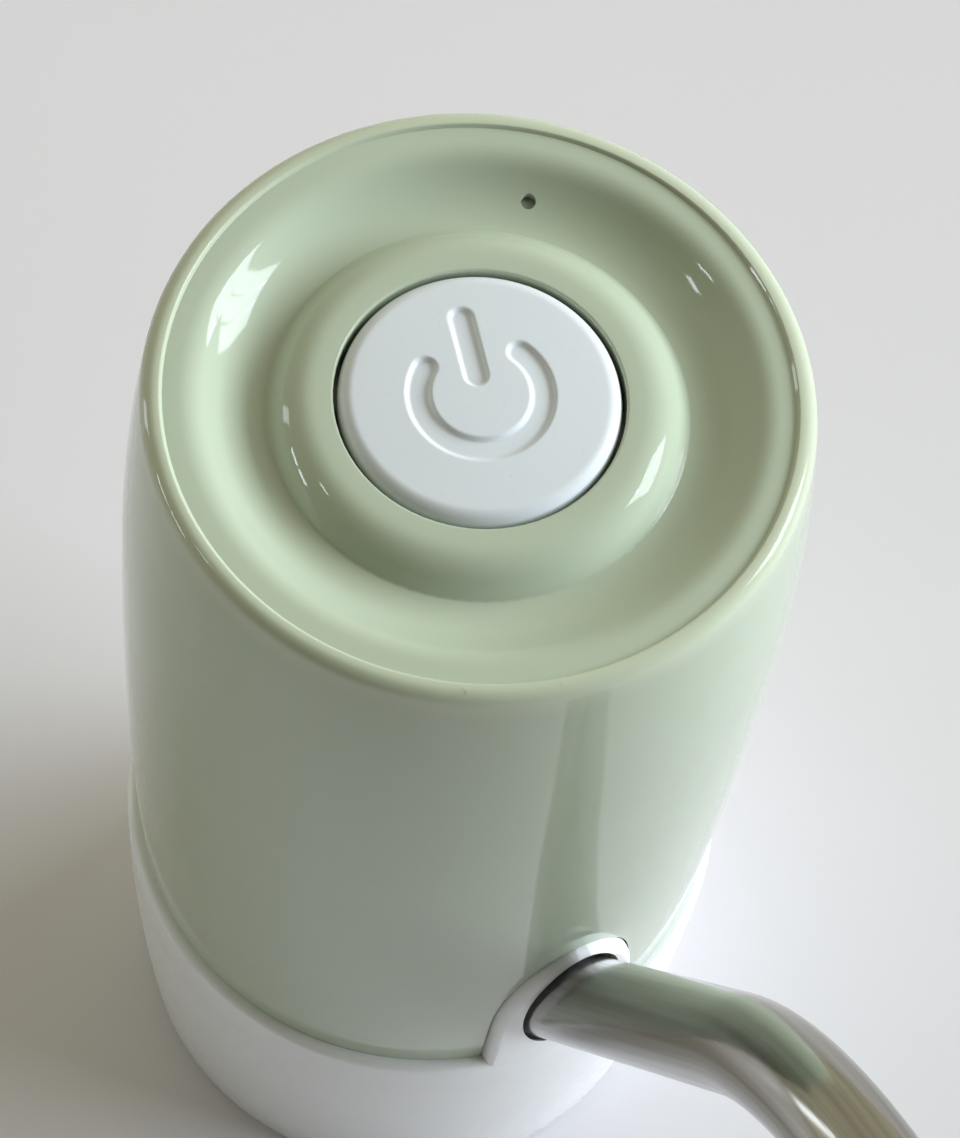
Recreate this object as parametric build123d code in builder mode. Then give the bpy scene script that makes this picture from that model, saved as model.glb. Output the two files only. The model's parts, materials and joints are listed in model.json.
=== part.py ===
from build123d import *
import os
from math import cos, radians, sin, sqrt

# A rechargeable pump that stands on the neck of a large water bottle.
# Millimetres, +Z up, the spout along +X.  The origin is the centre of the neck socket's mouth.

# Neck socket, for a bottle neck 55 mm across: the casing's width follows from it
neck_bore_radius = 27.75
socket_depth = 20.0
socket_wall = 3.45
deck_thickness = 3.6

# Casing
belly_overhang = 3.8
rim_inset = 1.8
seam_inset = 2.1
casing_height = 136.2
belly_share = 0.6933
seam_rise = 17.4
cavity_inset = 6.0
shell_wall = 2.2
overrun_length = 1.0
slip_gap = 0.15
running_gap = 0.05

# Crown of the upper shell, from the rim to the button well
rim_round = 1.6
rim_width = 1.75
rim_inner_slope = 0.3
rim_step_depth = 0.35
rim_inner_round = 0.25
shoulder_share = 0.8434
shoulder_round = 4.0
ring_foot_share = 0.6295
ring_foot_drop = 3.5
ring_foot_round = 0.4
ring_edge_share = 0.5551
ring_edge_round = 4.5
lip_drop = 0.45
lip_round = 0.3
deck_drop = 5.4
well_floor = 1.8
well_wall = 1.75

# Push button
button_share = 0.4232
button_gap = 0.4
button_crown_height = 0.4
button_edge_round = 1.6
button_skirt_depth = 4.9
skirt_gap = 0.9
button_wall = 1.7
button_travel = 0.6
stem_radius = 3.0
stem_gap = 0.4
stem_clip_radius = 4.6
stem_clip_height = 0.9
stem_clip_gap = 0.3
seal_radius = 6.5
seal_height = 0.8

# Base
base_top_inset = 0.75
base_mid_inset = 1.75
base_edge_round = 1.0
base_foot_round = 1.6
spigot_height = 5.0
neck_seal_height = 2.0
neck_seal_width = 5.0
neck_seal_margin = 0.6
seam_seal_drop = 1.5
seam_seal_height = 1.8
seam_seal_depth = 0.9

# Arched boss on the base, in a notch of the shell
arch_half_width = 8.4
arch_spring_drop = 5.7
arch_rise = 19.0
arch_proud_depth = 1.5
arch_round = 1.3
arch_gap = 0.2

# Spout: an inclined straight run, one bend and a short tail
spout_radius = 5.25
spout_wall = 0.6
spout_angle = 61.0
spout_rise = 15.7
spout_run_length = 54.2
spout_bend_radius = 40.0
spout_bend_angle = 131.0
spout_tail_length = 12.0
spout_end_round = 0.2
spout_bore_radius = 5.75
bush_gap = 0.08
bush_grip_length = 9.5
bush_foot_height = 2.0
bush_floor_gap = 4.0
bush_stop_width = 0.95
sleeve_radius = 8.3
sleeve_top_depth = 1.0
sleeve_floor_depth = 28.0
sleeve_floor_wall = 2.0
port_floor_gap = 2.0
sleeve_notch_gap = 0.8

# Hose fittings
spigot_radius = 2.6
spigot_bead_radius = 3.0
spigot_bead_length = 1.2
spigot_bore_radius = 1.6
spigot_length = 4.7
hose_wall = 1.5
hose_bend_radius = 10.0
hose_end_gap = 0.2

# Diaphragm pump
pump_place_share = 0.4655
head_share = 0.431
outlet_rise = 1.9
cover_height = 5.0
cover_round = 0.8
outlet_chamber_share = 0.416
outlet_chamber_floor = 0.7
outlet_bore_radius = 1.1
inlet_ring_shares = (0.496, 0.832)
inlet_ring_depth = 1.6
inlet_angle = -60.0
valve_plate_height = 2.5
valve_hole_radius = 0.5
valve_stem_radius = 0.6
valve_disc_radius = 2.2
valve_disc_height = 0.5
valve_ring_shares = (0.7, 1.3)
outlet_valve_share = 0.352
outlet_valve_stem_radius = 0.95
diaphragm_flange_height = 0.8
cup_count = 3
cup_ring_share = 0.448
cup_share = 0.288
cup_height = 2.0
cup_wall = 0.7
cup_round = 0.9
housing_height = 13.0
housing_bore_share = 0.864
housing_top_thickness = 2.5
housing_shoulder_height = 2.7
housing_flange_share = 1.088
housing_flange_height = 2.0
housing_neck_share = 1.04
pump_screw_count = 3
pump_screw_angle = 30.0
pump_screw_share = 0.908
pump_screw_radius = 0.6
pump_screw_head_radius = 0.95
pump_screw_head_height = 0.8
pump_screw_length = 9.0

# Crank and wobble plate
wobble_angle = 7.0
pivot_rise = 4.2
plate_thickness = 1.6
plate_arm_share = 0.64
plate_arm_width = 4.4
plate_hub_radius = 2.6
plate_hub_height = 2.4
crank_radius = 5.2
crank_gap = 2.0
crank_height = 4.0
crank_pin_radius = 0.8
crank_pin_below_length = 1.0
crank_pin_above_length = 3.4
shaft_end_rise = 3.9

# Motor
motor_share = 0.4207
motor_length_share = 0.53
motor_wall = 1.0
motor_boss_radius = 3.1
motor_boss_height = 2.0
shaft_radius = 1.0
shaft_tail_length = 2.0
rotor_share = 0.6393
rotor_length_share = 0.613
rotor_slots = 3
rotor_slot_width = 1.6
rotor_slot_depth = 2.4
rotor_lift_height = 4.0
magnet_gap = 0.8
magnet_sweep = 150.0
end_cap_plug_depth = 2.5
end_cap_height = 2.5
end_cap_round = 0.8
terminal_offset = 5.0
terminal_width = 2.4
terminal_thickness = 0.6
terminal_height = 4.0

# Battery
cell_place_share = 0.3966
cell_share = 0.3172
cell_head_gap = 3.5
cell_cap_radius = 3.2
cell_cap_height = 1.0
cell_round = 0.6
contact_thickness = 0.3
contact_width = 6.0
contact_reach_length = 3.5

# Chassis
chassis_plate = 2.5
chassis_inset = 0.6
chassis_gap = 0.25
collar_wall = 1.5
collar_share = 0.774
cradle_wall = 1.5
cradle_rise = 0.1
cradle_mouth = 10.0
web_width = 9.0
bulkhead_inset = 0.8
bulkhead_thickness = 2.0
post_radius = 2.6
post_inset = 4.0
post_angles = (65.0, 115.0, 245.0, 295.0)
boss_radius = 3.2
boss_inset = 3.5
boss_angles = (40.2, 139.8, 220.2, 319.8)
screw_radius = 1.2
screw_head_radius = 2.4
screw_head_height = 1.6
screw_length = 9.0

# Circuit board
board_inset = 1.5
board_thickness = 1.6
board_drop = 16.8
board_tab_width = 10.0
board_tab_inset = 4.4
board_screw_radius = 0.8
board_screw_head_radius = 1.7
board_screw_head_height = 1.1
board_screw_length = 6.0
switch_width = 6.0
switch_height = 3.5
switch_wall = 0.8
switch_rise = 5.0
actuator_radius = 1.7
actuator_gap = 0.1
actuator_depth = 1.5
usb_width = 7.6
usb_height = 2.8
usb_depth = 7.0
usb_wall = 0.4
usb_round = 0.7
usb_mouth_gap = 0.4
usb_tongue_width = 3.8
usb_tongue_height = 0.7
port_margin = 0.7
port_round = 1.6
lamp_radius = 1.5
lamp_height = 3.0
lamp_share = 0.742
lamp_angle = 141.2
pipe_radius = 0.7
pipe_sink = 0.45
pipe_gap = 0.05
pipe_flange_radius = 1.5
chip_height = 1.2
chip_small_width = 5.0
chip_large_width = 8.0
chip_x = -4.0
chip_y = 13.0
lead_radius = 0.65
lead_gap = 0.6

# Intake fitting in its round recess above the neck socket's roof
recess_radius = 8.0
recess_depth = 7.0
recess_wall = 2.0
nozzle_flange_radius = 4.6
nozzle_flange_height = 1.0
nozzle_tube_radius = 3.4

# Radii of the casing, from the neck outwards
base_bottom_radius = neck_bore_radius + socket_wall
belly_radius = base_bottom_radius + belly_overhang
rim_radius = belly_radius - rim_inset
seam_radius = belly_radius - seam_inset
base_top_radius = belly_radius - base_top_inset
base_mid_radius = belly_radius - base_mid_inset
cavity_radius = belly_radius - cavity_inset
shoulder_radius = rim_radius * shoulder_share
ring_foot_radius = rim_radius * ring_foot_share
ring_edge_radius = rim_radius * ring_edge_share
lamp_ring_radius = rim_radius * lamp_share
button_radius = rim_radius * button_share
base_deck_top = socket_depth + deck_thickness
seam_height = base_deck_top + seam_rise
belly_height = seam_height + belly_share * (casing_height - seam_height)

# Widths of what the casing holds, from the cavity inwards
pump_x = -pump_place_share * cavity_radius
cell_x = cell_place_share * cavity_radius
head_radius = head_share * cavity_radius
motor_radius = motor_share * cavity_radius
cell_radius = cell_share * cavity_radius
chassis_radius = cavity_radius - chassis_inset
bulkhead_radius = cavity_radius - bulkhead_inset
post_ring_radius = cavity_radius - post_inset
boss_ring_radius = cavity_radius - boss_inset
board_radius = cavity_radius - board_inset
board_tab_reach = belly_radius - board_tab_inset
outlet_chamber_radius = head_radius * outlet_chamber_share
inlet_ring_inner = head_radius * inlet_ring_shares[0]
inlet_ring_outer = head_radius * inlet_ring_shares[1]
outlet_valve_radius = head_radius * outlet_valve_share
cup_ring_radius = head_radius * cup_ring_share
cup_radius = head_radius * cup_share
housing_bore_radius = head_radius * housing_bore_share
housing_flange_radius = head_radius * housing_flange_share
housing_neck_radius = head_radius * housing_neck_share
pump_screw_circle = head_radius * pump_screw_share
plate_arm_length = head_radius * plate_arm_share
rotor_radius = motor_radius * rotor_share

# The outer wall is two arcs that meet upright at the belly
lower_arc = ((belly_height - seam_height) ** 2 + (belly_radius - seam_radius) ** 2) / 2
lower_arc = lower_arc / (belly_radius - seam_radius)
upper_arc = ((casing_height - belly_height) ** 2 + (belly_radius - rim_radius) ** 2) / 2
upper_arc = upper_arc / (belly_radius - rim_radius)


def wall_radius(height):
    arc = upper_arc if height > belly_height else lower_arc
    return belly_radius - arc + sqrt(arc ** 2 - (height - belly_height) ** 2)


# Heights worked out from the sizes above
deck_height = casing_height - deck_drop
well_depth = button_skirt_depth + button_travel + skirt_gap
well_floor_height = casing_height - well_depth
well_under_height = well_floor_height - well_floor
well_radius = button_radius + button_gap
board_height = casing_height - board_drop
board_top = board_height + board_thickness
spout_reach = belly_radius
sleeve_port_depth = sleeve_floor_depth - port_floor_gap
bush_bottom_depth = sleeve_floor_depth - bush_floor_gap
spout_depth = bush_bottom_depth - bush_foot_height
bush_top_depth = spout_depth - bush_grip_length
spout_height = seam_height + spout_rise
arch_spring_height = spout_height - arch_spring_drop
spigot_outer = seam_radius - shell_wall - slip_gap
neck_seal_outer = neck_bore_radius - neck_seal_margin
neck_seal_inner = neck_seal_outer - neck_seal_width

# The spout's axis leaves the boss upwards and outwards
spout_cos = cos(radians(spout_angle))
spout_sin = sin(radians(spout_angle))
spout_plane = Plane(
    origin=(spout_reach, 0, spout_height),
    x_dir=(0, 1, 0),
    z_dir=(spout_cos, 0, spout_sin),
)

# The sleeve's own hose fitting stands square to the spout's axis and points up and inwards
port_plane = Plane(
    origin=(spout_reach - sleeve_port_depth * spout_cos, 0, spout_height - sleeve_port_depth * spout_sin),
    x_dir=(0, 1, 0),
    z_dir=(-spout_sin, 0, spout_cos),
)
port_tip = sleeve_radius + spigot_length
port_tip_x = port_plane.origin.X - port_tip * spout_sin
port_tip_z = port_plane.origin.Z + port_tip * spout_cos
hose_turn = 90.0 - spout_angle
hose_level_x = port_tip_x - hose_bend_radius * sin(radians(hose_turn))
outlet_height = port_tip_z + hose_bend_radius * (1 - cos(radians(hose_turn)))

# The pump stack stands on the height of its outlet
cover_base = outlet_height - outlet_rise
valve_base = cover_base + cover_height
diaphragm_base = valve_base + valve_plate_height
housing_base = diaphragm_base + diaphragm_flange_height
plate_top = housing_base + housing_shoulder_height
plate_base = plate_top - chassis_plate
housing_end = housing_base + housing_height
pivot_height = housing_base + pivot_rise
crank_base = pivot_height + crank_gap
motor_base = housing_end
motor_length = motor_length_share * (board_height - motor_base)
rotor_length = motor_length * rotor_length_share
collar_height = motor_length * collar_share
motor_end = motor_base + motor_length
cap_end = motor_end + end_cap_height
terminal_end = cap_end + terminal_height
hose_outer = spigot_bead_radius + hose_wall

inlet_x = pump_x + (inlet_ring_inner + inlet_ring_outer) / 2 * cos(radians(inlet_angle))
inlet_y = (inlet_ring_inner + inlet_ring_outer) / 2 * sin(radians(inlet_angle))

# The intake fitting hangs in a round recess above the neck socket's roof
recess_roof = socket_depth + recess_depth
recess_top = recess_roof + recess_wall

cell_base = plate_top + contact_thickness
cell_end = board_height - cell_head_gap
cell_length = cell_end - cell_base
cradle_height = housing_end + collar_height + cradle_rise - plate_top
bulkhead_base = plate_top + cradle_height - bulkhead_thickness

boss_places = [(boss_ring_radius * cos(radians(a)), boss_ring_radius * sin(radians(a))) for a in boss_angles]
post_places = [(post_ring_radius * cos(radians(a)), post_ring_radius * sin(radians(a))) for a in post_angles]
lamp_x = lamp_ring_radius * cos(radians(lamp_angle))
lamp_y = lamp_ring_radius * sin(radians(lamp_angle))

os.makedirs("parts", exist_ok=True)


# Arch outline shared by the base's boss and the shell's notch, drawn in the sketch that calls it
def arch_outline(margin):
    with Locations((0, arch_spring_height)):
        Ellipse(arch_half_width + margin, arch_rise + margin)
        Rectangle(2 * (arch_half_width + margin), arch_rise, align=(Align.CENTER, Align.MAX))


# Upper shell: one revolved section, with the notch, the lamp hole and the charging port cut in
with BuildPart() as upper_shell:
    with BuildSketch(Plane.XZ) as shell_section:
        with BuildLine():
            rim_inner = rim_radius - rim_width
            rim_foot = rim_inner - rim_inner_slope
            well_outer = well_radius + well_wall
            inner_deck = wall_radius(deck_height) - shell_wall
            inner_belly = belly_radius - shell_wall
            inner_seam = seam_radius - shell_wall
            stem_hole = stem_radius + stem_gap
            Line((inner_seam, seam_height), (seam_radius, seam_height))
            TangentArc((belly_radius, belly_height), (seam_radius, seam_height), tangent=(0, -1))
            TangentArc((belly_radius, belly_height), (rim_radius, casing_height), tangent=(0, 1))
            Polyline(
                (rim_radius, casing_height),
                (rim_inner, casing_height),
                (rim_foot, casing_height - rim_step_depth),
                (shoulder_radius, casing_height - rim_step_depth),
            )
            TangentArc(
                (ring_foot_radius, casing_height - ring_foot_drop),
                (shoulder_radius, casing_height - rim_step_depth),
                tangent=(1, 0),
            )
            Polyline(
                (ring_foot_radius, casing_height - ring_foot_drop),
                (ring_edge_radius, casing_height - lip_drop),
                (well_radius, casing_height - lip_drop),
                (well_radius, well_floor_height),
                (stem_hole, well_floor_height),
                (stem_hole, well_under_height),
                (well_outer, well_under_height),
                (well_outer, deck_height),
                (inner_deck, deck_height),
            )
            TangentArc((inner_belly, belly_height), (inner_deck, deck_height), tangent=(0, 1))
            TangentArc((inner_belly, belly_height), (inner_seam, seam_height), tangent=(0, -1))
        make_face()
        corners = shell_section.vertices()
        fillet(corners.sort_by_distance((rim_radius, casing_height))[0], rim_round)
        corners = shell_section.vertices()
        fillet(corners.sort_by_distance((rim_inner, casing_height))[0], rim_inner_round)
        corners = shell_section.vertices()
        fillet(corners.sort_by_distance((shoulder_radius, casing_height - rim_step_depth))[0], shoulder_round)
        corners = shell_section.vertices()
        fillet(corners.sort_by_distance((ring_edge_radius, casing_height - lip_drop))[0], ring_edge_round)
        corners = shell_section.vertices()
        fillet(corners.sort_by_distance((ring_foot_radius, casing_height - ring_foot_drop))[0], ring_foot_round)
        corners = shell_section.vertices()
        fillet(corners.sort_by_distance((well_radius, casing_height - lip_drop))[0], lip_round)
    revolve(axis=Axis.Z)
    with BuildSketch(Plane.YZ):
        arch_outline(arch_gap)
    extrude(amount=belly_radius + overrun_length, mode=Mode.SUBTRACT)
    with BuildSketch(Plane.XY.offset(deck_height - overrun_length)):
        with Locations((lamp_x, lamp_y)):
            Circle(pipe_radius + pipe_gap)
    extrude(amount=deck_drop, mode=Mode.SUBTRACT)
    with BuildSketch(Plane.YZ):
        with Locations((0, board_top + usb_height / 2)):
            RectangleRounded(usb_width + 2 * port_margin, usb_height + 2 * port_margin, port_round)
    extrude(amount=-(belly_radius + overrun_length), mode=Mode.SUBTRACT)

# Push button: a crowned cap with a skirt, on a stem that a clip holds under the well's floor
with BuildPart() as button_cap:
    with BuildSketch(Plane.XZ) as cap_section:
        with BuildLine():
            cap_under = casing_height - button_wall
            cap_skirt = casing_height - button_skirt_depth
            ThreePointArc(
                (0, casing_height + button_crown_height),
                (button_radius / 2, casing_height + button_crown_height * 3 / 4),
                (button_radius, casing_height),
            )
            Polyline(
                (button_radius, casing_height),
                (button_radius, cap_skirt),
                (button_radius - button_wall, cap_skirt),
                (button_radius - button_wall, cap_under),
                (0, cap_under),
                (0, casing_height + button_crown_height),
            )
        make_face()
        corners = cap_section.vertices()
        fillet(corners.sort_by_distance((button_radius, casing_height))[0], button_edge_round)
    revolve(axis=Axis.Z)

stem_base = board_top + switch_rise
clip_top = well_under_height - stem_clip_gap
with BuildPart() as button_stem:
    with BuildSketch(Plane.XY.offset(stem_base)):
        Circle(stem_radius)
    extrude(amount=casing_height - button_wall - stem_base)
    with BuildSketch(Plane.XY.offset(clip_top - stem_clip_height)):
        Circle(stem_clip_radius)
    extrude(amount=stem_clip_height)

with BuildPart() as button_seal:
    with BuildSketch(Plane.XY.offset(well_floor_height)):
        Circle(seal_radius)
        Circle(stem_radius + stem_gap, mode=Mode.SUBTRACT)
    extrude(amount=seal_height)

# Arched boss: a sector of a slightly leaning wall inside the arch outline
with BuildPart() as arch_boss:
    with BuildSketch(Plane.XZ):
        with BuildLine():
            arch_top = arch_spring_height + arch_rise + overrun_length
            arch_foot = seam_height - base_edge_round
            Polyline(
                (cavity_radius, arch_foot),
                (base_top_radius, arch_foot),
                (wall_radius(arch_top) + arch_proud_depth, arch_top),
                (cavity_radius, arch_top),
                close=True,
            )
        make_face()
    revolve(axis=Axis.Z)
    with BuildSketch(Plane.YZ):
        arch_outline(0)
    extrude(amount=belly_radius + arch_rise, mode=Mode.INTERSECT)
    face_edges = arch_boss.faces().sort_by(Axis.X)[-1].edges()
    fillet(face_edges.sort_by(Axis.Z)[1:], arch_round)

# Spout sleeve: an inclined tube with a closed foot, trimmed inside the base's wall
with BuildPart() as sleeve:
    with BuildSketch(spout_plane.offset(-sleeve_floor_depth - sleeve_floor_wall)):
        Circle(sleeve_radius)
    extrude(amount=sleeve_floor_depth + sleeve_floor_wall - sleeve_top_depth)
    with BuildSketch(Plane.XY.offset(base_deck_top)):
        Circle(cavity_radius + neck_seal_height)
    extrude(amount=arch_spring_height, mode=Mode.INTERSECT)
    with BuildSketch(port_plane):
        Circle(spigot_radius)
    extrude(amount=port_tip)
    with BuildSketch(port_plane.offset(port_tip - spigot_bead_length)):
        Circle(spigot_bead_radius)
    extrude(amount=spigot_bead_length)

# Base: socket, deck, wall and spigot in one revolved section, with the boss, the sleeve and four posts
with BuildPart() as base_shell:
    with BuildSketch(Plane.XZ) as base_section:
        with BuildLine():
            ThreePointArc(
                (base_top_radius, seam_height),
                (base_mid_radius, seam_height / 2),
                (base_bottom_radius, 0),
            )
            Polyline(
                (base_bottom_radius, 0),
                (neck_bore_radius, 0),
                (neck_bore_radius, socket_depth),
                (neck_seal_outer, socket_depth),
                (neck_seal_outer, socket_depth + neck_seal_height),
                (neck_seal_inner, socket_depth + neck_seal_height),
                (neck_seal_inner, socket_depth),
                (0, socket_depth),
                (0, base_deck_top),
                (cavity_radius, base_deck_top),
                (cavity_radius, seam_height + spigot_height),
                (spigot_outer, seam_height + spigot_height),
                (spigot_outer, seam_height),
                (base_top_radius, seam_height),
            )
        make_face()
        corners = base_section.vertices()
        fillet(corners.sort_by_distance((base_top_radius, seam_height))[0], base_edge_round)
        corners = base_section.vertices()
        fillet(corners.sort_by_distance((base_bottom_radius, 0))[0], base_foot_round)
    revolve(axis=Axis.Z)
    with BuildSketch(Plane.XZ):
        groove_top = seam_height + seam_seal_drop + seam_seal_height
        with Locations((spigot_outer, groove_top)):
            Rectangle(2 * seam_seal_depth, seam_seal_height, align=(Align.CENTER, Align.MAX))
    revolve(axis=Axis.Z, mode=Mode.SUBTRACT)
    with BuildSketch(Plane.XY.offset(base_deck_top)):
        with Locations(*boss_places):
            Circle(boss_radius)
    extrude(amount=plate_base - base_deck_top)
    with BuildSketch(Plane.XY.offset(socket_depth)):
        with Locations((inlet_x, inlet_y)):
            Circle(recess_radius + recess_wall)
    extrude(amount=recess_top - socket_depth)
    add(arch_boss.part)
    add(sleeve.part)
    with BuildSketch(Plane.XY.offset(socket_depth)):
        with Locations((inlet_x, inlet_y)):
            Circle(recess_radius)
    extrude(amount=recess_depth, mode=Mode.SUBTRACT)
    with BuildSketch(Plane.XY.offset(socket_depth)):
        with Locations((inlet_x, inlet_y)):
            Circle(nozzle_tube_radius)
    extrude(amount=recess_depth + recess_wall + overrun_length, mode=Mode.SUBTRACT)
    with BuildSketch(spout_plane.offset(-sleeve_floor_depth)):
        Circle(spout_bore_radius)
    extrude(amount=sleeve_floor_depth + belly_radius, mode=Mode.SUBTRACT)
    with BuildSketch(port_plane):
        Circle(spigot_bore_radius)
    extrude(amount=port_tip + overrun_length, mode=Mode.SUBTRACT)
    with BuildSketch(Plane.XY.offset(plate_base - screw_length + chassis_plate)):
        with Locations(*boss_places):
            Circle(screw_radius)
    extrude(amount=screw_length, mode=Mode.SUBTRACT)

# Rubber rings of the base: in a groove of the socket's roof, and round the spigot
with BuildPart() as neck_seal:
    with BuildSketch(Plane.XY.offset(socket_depth)):
        Circle(neck_seal_outer)
        Circle(neck_seal_inner, mode=Mode.SUBTRACT)
    extrude(amount=neck_seal_height)

with BuildPart() as seam_seal:
    with BuildSketch(Plane.XY.offset(seam_height + seam_seal_drop)):
        Circle(spigot_outer + slip_gap)
        Circle(spigot_outer - seam_seal_depth, mode=Mode.SUBTRACT)
    extrude(amount=seam_seal_height)
    with BuildSketch(Plane.YZ):
        arch_outline(arch_gap)
    extrude(amount=belly_radius, mode=Mode.SUBTRACT)

# Intake fitting: a flanged tube through the recess, with a bead at each end for a hose
with BuildPart() as intake_nozzle:
    with BuildSketch(Plane.XZ) as nozzle_section:
        with BuildLine():
            nozzle_foot = socket_depth
            nozzle_head = recess_top + nozzle_flange_height + spigot_length
            Polyline(
                (spigot_bore_radius, nozzle_foot),
                (spigot_radius, nozzle_foot),
                (spigot_bead_radius, nozzle_foot + spigot_bead_length),
                (spigot_radius, nozzle_foot + spigot_bead_length),
                (spigot_radius, recess_roof - nozzle_flange_height),
                (nozzle_flange_radius, recess_roof - nozzle_flange_height),
                (nozzle_flange_radius, recess_roof),
                (nozzle_tube_radius, recess_roof),
                (nozzle_tube_radius, recess_top),
                (nozzle_tube_radius, recess_top + nozzle_flange_height),
                (spigot_radius, recess_top + nozzle_flange_height),
                (spigot_radius, nozzle_head - spigot_bead_length),
                (spigot_bead_radius, nozzle_head - spigot_bead_length),
                (spigot_radius, nozzle_head),
                (spigot_bore_radius, nozzle_head),
                close=True,
            )
        make_face()
    revolve(axis=Axis.Z)
intake_nozzle.part = intake_nozzle.part.moved(Location((inlet_x, inlet_y, 0)))

# Short hose between the intake fitting and the pump's inlet
with BuildPart() as inlet_hose:
    with BuildSketch(Plane.XY.offset(recess_top + nozzle_flange_height + hose_end_gap)):
        with Locations((inlet_x, inlet_y)):
            Circle(hose_outer)
            Circle(spigot_bead_radius, mode=Mode.SUBTRACT)
    extrude(amount=cover_base - recess_top - nozzle_flange_height - 2 * hose_end_gap)

# Hose from the pump's outlet, along one bend, onto the sleeve's fitting
hose_start_x = pump_x + head_radius + hose_end_gap
sleeve_grip_x = port_plane.origin.X - (sleeve_radius + hose_end_gap) * spout_sin
sleeve_grip_z = port_plane.origin.Z + (sleeve_radius + hose_end_gap) * spout_cos
with BuildPart() as outlet_hose:
    with BuildLine() as hose_path:
        Line((hose_start_x, 0, outlet_height), (hose_level_x, 0, outlet_height))
        TangentArc(
            (hose_level_x, 0, outlet_height),
            (port_tip_x, 0, port_tip_z),
            tangent=(1, 0, 0),
        )
        Line((port_tip_x, 0, port_tip_z), (sleeve_grip_x, 0, sleeve_grip_z))
    with BuildSketch(Plane(origin=(hose_start_x, 0, outlet_height), z_dir=(1, 0, 0))):
        Circle(hose_outer)
        Circle(spigot_bead_radius, mode=Mode.SUBTRACT)
    sweep(path=hose_path.line)

# Spout: one bent tube
bend_start_x = spout_reach + spout_run_length * spout_cos
bend_start_z = spout_height + spout_run_length * spout_sin
tail_angle = spout_angle - spout_bend_angle
bend_end_x = bend_start_x + spout_bend_radius * (spout_sin - sin(radians(tail_angle)))
bend_end_z = bend_start_z + spout_bend_radius * (cos(radians(tail_angle)) - spout_cos)
spout_end = (
    bend_end_x + spout_tail_length * cos(radians(tail_angle)),
    0,
    bend_end_z + spout_tail_length * sin(radians(tail_angle)),
)
with BuildPart() as spout_tube:
    with BuildLine() as spout_path:
        Line(
            (spout_reach - spout_depth * spout_cos, 0, spout_height - spout_depth * spout_sin),
            (bend_start_x, 0, bend_start_z),
        )
        TangentArc(
            (bend_start_x, 0, bend_start_z),
            (bend_end_x, 0, bend_end_z),
            tangent=(spout_cos, 0, spout_sin),
        )
        Line((bend_end_x, 0, bend_end_z), spout_end)
    with BuildSketch(spout_plane.offset(-spout_depth)):
        Circle(spout_radius)
        Circle(spout_radius - spout_wall, mode=Mode.SUBTRACT)
    sweep(path=spout_path.line)
    end_edges = spout_tube.edges().filter_by(GeomType.CIRCLE).sort_by_distance(spout_end)
    fillet(end_edges[:2], spout_end_round)

# Bush that turns in the sleeve and stops the spout's foot
with BuildPart() as spout_bush:
    with BuildSketch(spout_plane.offset(-bush_bottom_depth)):
        Circle(spout_bore_radius - bush_gap)
        Circle(spout_radius - bush_stop_width, mode=Mode.SUBTRACT)
    extrude(amount=bush_bottom_depth - bush_top_depth)
    with BuildSketch(spout_plane.offset(-spout_depth - slip_gap)):
        Circle(spout_radius + running_gap)
    extrude(amount=spout_depth, mode=Mode.SUBTRACT)

# Pump cover: inlet ring and outlet chamber, with a hose fitting each
pump_plane = Plane(origin=(pump_x, 0, 0), z_dir=(0, 0, 1))
outlet_plane = Plane(origin=(pump_x, 0, outlet_height), x_dir=(0, 1, 0), z_dir=(1, 0, 0))
screw_locations = PolarLocations(pump_screw_circle, pump_screw_count, start_angle=pump_screw_angle)
with BuildPart() as pump_cover:
    with BuildSketch(pump_plane.offset(cover_base)):
        Circle(head_radius)
    extrude(amount=cover_height)
    fillet(pump_cover.edges().group_by(Axis.Z)[0], cover_round)
    with BuildSketch(outlet_plane):
        Circle(spigot_radius)
    extrude(amount=head_radius + spigot_length)
    with BuildSketch(outlet_plane.offset(head_radius + spigot_length - spigot_bead_length)):
        Circle(spigot_bead_radius)
    extrude(amount=spigot_bead_length)
    with BuildSketch(Plane.XY.offset(cover_base - spigot_length)):
        with Locations((inlet_x, inlet_y)):
            Circle(spigot_radius)
    extrude(amount=spigot_length + outlet_chamber_floor)
    with BuildSketch(Plane.XY.offset(cover_base - spigot_length)):
        with Locations((inlet_x, inlet_y)):
            Circle(spigot_bead_radius)
    extrude(amount=spigot_bead_length)
    with BuildSketch(pump_plane.offset(cover_base + outlet_chamber_floor)):
        Circle(outlet_chamber_radius)
    extrude(amount=cover_height, mode=Mode.SUBTRACT)
    with BuildSketch(pump_plane.offset(valve_base - inlet_ring_depth)):
        Circle(inlet_ring_outer)
        Circle(inlet_ring_inner, mode=Mode.SUBTRACT)
    extrude(amount=inlet_ring_depth, mode=Mode.SUBTRACT)
    with BuildSketch(outlet_plane):
        Circle(outlet_bore_radius)
    extrude(amount=head_radius + spigot_length + overrun_length, mode=Mode.SUBTRACT)
    with BuildSketch(Plane.XY.offset(cover_base - spigot_length - overrun_length)):
        with Locations((inlet_x, inlet_y)):
            Circle(spigot_bore_radius)
    extrude(amount=spigot_length + overrun_length + cover_height, mode=Mode.SUBTRACT)
    with BuildSketch(pump_plane.offset(cover_base)):
        with screw_locations:
            Circle(pump_screw_radius)
    extrude(amount=cover_height, mode=Mode.SUBTRACT)

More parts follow.
